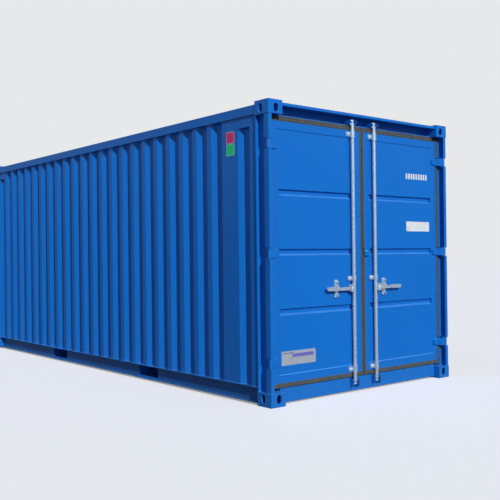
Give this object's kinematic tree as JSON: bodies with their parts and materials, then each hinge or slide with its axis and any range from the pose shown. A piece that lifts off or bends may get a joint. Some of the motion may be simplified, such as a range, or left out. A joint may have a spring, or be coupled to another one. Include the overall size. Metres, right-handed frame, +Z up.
{
  "type": "shipping container",
  "caption": "Steel storage container with corrugated walls, double end doors with locking bars, corner castings and fork pockets.",
  "frame": {"origin": "middle of the footprint, on the ground", "axes": "+X along the length towards the doors, +Y across the width, +Z up"},
  "size_m": [6.058, 2.438, 2.591],
  "materials": {
    "painted_steel": "satin blue paint",
    "galvanised_steel": "hot-dip galvanised",
    "seal_rubber": "matt, dusty",
    "floor_timber": "sealed plywood"
  },
  "bodies": {
    "frame": {"bottom_castings": "painted_steel", "top_castings": "painted_steel", "left_door_post": "painted_steel", "right_door_post": "painted_steel", "left_rear_post": "painted_steel", "right_rear_post": "painted_steel", "door_header": "painted_steel", "door_sill": "painted_steel", "rear_header": "painted_steel", "rear_sill": "painted_steel", "top_rails": "painted_steel", "bottom_rails": "painted_steel", "left_wall": "painted_steel", "right_wall": "painted_steel", "rear_wall": "painted_steel", "wall_infills": "painted_steel", "roof_panel": "painted_steel", "roof_end_plates": "painted_steel", "floor_boards": "floor_timber", "cross_members": "painted_steel", "fork_pockets": "painted_steel", "fork_pocket_sides": "painted_steel", "hinge_lugs": "painted_steel", "hinge_pins": "galvanised_steel", "bar_keepers": "painted_steel"},
    "left_door": {"left_door_leaf": "painted_steel", "left_door_gasket": "seal_rubber", "left_door_hinges": "painted_steel", "left_bar_guides": "galvanised_steel", "left_handle_retainer": "galvanised_steel"},
    "left_bar": {"left_locking_bar": "galvanised_steel", "left_bar_cams": "galvanised_steel"},
    "left_handle": {"left_handle": "galvanised_steel"},
    "left_catch": {"left_handle_catch": "galvanised_steel"},
    "right_door": {"right_door_leaf": "painted_steel", "right_door_gasket": "seal_rubber", "right_door_hinges": "painted_steel", "right_bar_guides": "galvanised_steel", "right_handle_retainer": "galvanised_steel", "right_door_tab": "painted_steel"},
    "right_bar": {"right_locking_bar": "galvanised_steel", "right_bar_cams": "galvanised_steel"},
    "right_handle": {"right_handle": "galvanised_steel"},
    "right_catch": {"right_handle_catch": "galvanised_steel"}
  },
  "joints": [
    {"name": "left_door_hinge", "type": "hinge", "parent": "frame", "child": "left_door", "pos_m": [3.001, -1.194, 1.293], "axis": [0, 0, -1], "range_deg": [0, 265]},
    {"name": "left_bar_turn", "type": "hinge", "parent": "left_door", "child": "left_bar", "pos_m": [2.984, -0.149, 1.293], "axis": [0, 0, -1], "range_deg": [-100, 0]},
    {"name": "left_handle_lift", "type": "hinge", "parent": "left_bar", "child": "left_handle", "pos_m": [2.991, -0.19, 0.966], "axis": [-1, 0, 0], "range_deg": [0, 4]},
    {"name": "left_catch_swing", "type": "hinge", "parent": "left_door", "child": "left_catch", "pos_m": [2.969, -0.363, 0.974], "axis": [1, 0, 0], "range_deg": [0, 40]},
    {"name": "right_door_hinge", "type": "hinge", "parent": "frame", "child": "right_door", "pos_m": [3.001, 1.194, 1.293], "axis": [0, 0, 1], "range_deg": [0, 265]},
    {"name": "right_bar_turn", "type": "hinge", "parent": "right_door", "child": "right_bar", "pos_m": [2.984, 0.149, 1.293], "axis": [0, 0, 1], "range_deg": [-100, 0]},
    {"name": "right_handle_lift", "type": "hinge", "parent": "right_bar", "child": "right_handle", "pos_m": [2.991, 0.19, 0.966], "axis": [1, 0, 0], "range_deg": [0, 4]},
    {"name": "right_catch_swing", "type": "hinge", "parent": "right_door", "child": "right_catch", "pos_m": [2.969, 0.29, 0.974], "axis": [1, 0, 0], "range_deg": [0, 40]}
  ]
}
